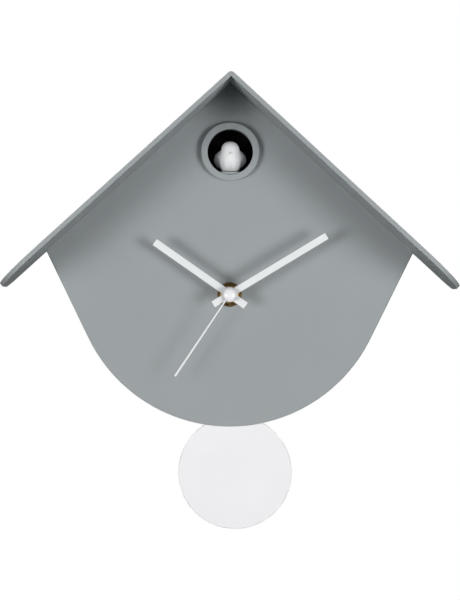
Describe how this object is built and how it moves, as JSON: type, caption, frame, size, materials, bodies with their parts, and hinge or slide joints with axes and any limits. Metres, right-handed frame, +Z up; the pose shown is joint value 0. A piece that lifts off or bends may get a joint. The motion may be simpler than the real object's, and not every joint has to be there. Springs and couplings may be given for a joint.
{
  "type": "cuckoo clock",
  "caption": "Wall clock with a folded house roof over a flat face, plain straight hands, a bird that slides out of a ringed hole, and a disc pendulum hanging below.",
  "frame": {"origin": "on the wall plane at the rear of the centre rib, on the axis of the hands", "axes": "+Z up, -Y out of the face towards the room, +X to the viewer's right, +Y into the wall"},
  "size_m": [0.341, 0.105, 0.3401],
  "materials": {
    "case_grey": "fine matte texture",
    "cover_grey": "moulded matte",
    "chamber_black": "matte black",
    "hand_white": "satin white paint",
    "bird_white": "satin white",
    "gloss_white": "glossy white",
    "beak_yellow": "painted",
    "antique_brass": "darkened brass",
    "bright_steel": "plated steel",
    "dark_metal": "dark plating",
    "gear_ivory": "natural acetal",
    "board_green": "lacquered board",
    "copper_winding": null,
    "cell_jacket": "printed jacket with no lettering"
  },
  "bodies": {
    "clock": {"face_panel": "case_grey", "roof": "case_grey", "bird_ring": "case_grey", "housing_shell": "case_grey", "back_cover": "cover_grey", "bird_chamber": "chamber_black", "movement_case_front": "chamber_black", "movement_case_rear": "chamber_black", "battery_tray": "chamber_black", "pendulum_bracket": "chamber_black", "speaker_cone": "chamber_black", "brass_bush": "antique_brass", "face_washer": "antique_brass", "hex_nut": "antique_brass", "roof_screw_1": "bright_steel", "roof_screw_2": "bright_steel", "cover_screw_1": "bright_steel", "cover_screw_2": "bright_steel", "cover_screw_3": "bright_steel", "cover_screw_4": "bright_steel", "contact_spring_1": "bright_steel", "contact_spring_2": "bright_steel", "stator": "bright_steel", "pivot_pin": "bright_steel", "speaker_frame": "dark_metal", "speaker_magnet": "dark_metal", "bird_motor": "dark_metal", "sound_board": "board_green", "movement_board": "board_green", "step_coil": "copper_winding", "keeper_coil": "copper_winding", "battery_cell_1": "cell_jacket", "battery_cell_2": "cell_jacket"},
    "hour": {"hour_wheel": "gear_ivory", "hour_hand": "hand_white"},
    "minute": {"centre_wheel": "antique_brass", "minute_hand": "hand_white"},
    "second": {"second_wheel": "gear_ivory", "second_hand": "hand_white", "hub_cap": "gloss_white"},
    "motion": {"motion_wheel": "gear_ivory"},
    "third": {"third_wheel": "gear_ivory"},
    "step": {"step_wheel": "gear_ivory"},
    "rotor_body": {"rotor": "dark_metal"},
    "knob": {"setting_knob": "gear_ivory"},
    "pendulum": {"pendulum_hanger": "bird_white", "pendulum_magnet": "dark_metal", "pendulum_rod": "bright_steel", "pendulum_bob": "gloss_white"},
    "bird": {"bird_slide": "case_grey", "bird_body": "bird_white", "wing_left": "bird_white", "wing_right": "bird_white", "beak": "beak_yellow"},
    "pinion": {"drive_pinion": "gear_ivory"},
    "door": {"battery_door": "cover_grey"},
    "volume": {"volume_knob": "cover_grey"},
    "mode": {"mode_switch": "gear_ivory"}
  },
  "joints": [
    {"name": "minute_spin", "type": "hinge", "parent": "clock", "child": "minute", "pos_m": [0, -0.03, 0], "axis": [0, 1, 0], "continuous": true},
    {"name": "hour_spin", "type": "hinge", "parent": "clock", "child": "hour", "pos_m": [0, -0.03, 0], "axis": [0, 1, 0], "continuous": true},
    {"name": "second_spin", "type": "hinge", "parent": "clock", "child": "second", "pos_m": [0, -0.03, 0], "axis": [0, 1, 0], "continuous": true},
    {"name": "third_spin", "type": "hinge", "parent": "clock", "child": "third", "pos_m": [0.00771, -0.03, 0.00919], "axis": [0, 1, 0], "continuous": true},
    {"name": "motion_spin", "type": "hinge", "parent": "clock", "child": "motion", "pos_m": [-0.009, -0.03, 0], "axis": [0, 1, 0], "continuous": true},
    {"name": "step_spin", "type": "hinge", "parent": "clock", "child": "step", "pos_m": [-0.00902, -0.03, -0.00328], "axis": [0, 1, 0], "continuous": true},
    {"name": "rotor_spin", "type": "hinge", "parent": "clock", "child": "rotor_body", "pos_m": [-0.01375, -0.03, -0.01146], "axis": [0, 1, 0], "continuous": true},
    {"name": "setting_spin", "type": "hinge", "parent": "clock", "child": "knob", "pos_m": [-0.0168, -0.03, 0.0045], "axis": [0, 1, 0], "continuous": true},
    {"name": "pendulum_swing", "type": "hinge", "parent": "clock", "child": "pendulum", "pos_m": [0, -0.0237, -0.036], "axis": [0, 1, 0], "range_deg": [-3.15, 8.85]},
    {"name": "bird_out", "type": "slide", "parent": "clock", "child": "bird", "axis": [0, -1, 0], "range_m": [0, 0.013]},
    {"name": "pinion_spin", "type": "hinge", "parent": "clock", "child": "pinion", "pos_m": [0, -0.021, 0.0826], "axis": [1, 0, 0], "range_deg": [-1, 188]},
    {"name": "door_hinge", "type": "hinge", "parent": "clock", "child": "door", "pos_m": [0.05475, -0.00425, -0.0294], "axis": [-1, 0, 0], "range_deg": [0, 100]},
    {"name": "volume_turn", "type": "hinge", "parent": "clock", "child": "volume", "pos_m": [-0.075, -0.005, 0.005], "axis": [0, 1, 0], "range_deg": [0, 270]},
    {"name": "mode_slide", "type": "slide", "parent": "clock", "child": "mode", "axis": [1, 0, 0], "range_m": [-0.0038, 0.0038]}
  ],
  "couplings": [
    {"joint": "hour_spin", "follows": "minute_spin", "ratio": 0.083333},
    {"joint": "second_spin", "follows": "minute_spin", "ratio": 60},
    {"joint": "third_spin", "follows": "minute_spin", "ratio": -8},
    {"joint": "motion_spin", "follows": "minute_spin", "ratio": -0.33333},
    {"joint": "step_spin", "follows": "minute_spin", "ratio": -300},
    {"joint": "rotor_spin", "follows": "minute_spin", "ratio": 1800},
    {"joint": "setting_spin", "follows": "minute_spin", "ratio": 1},
    {"joint": "pinion_spin", "follows": "bird_out", "rad_per_m": 250}
  ]
}
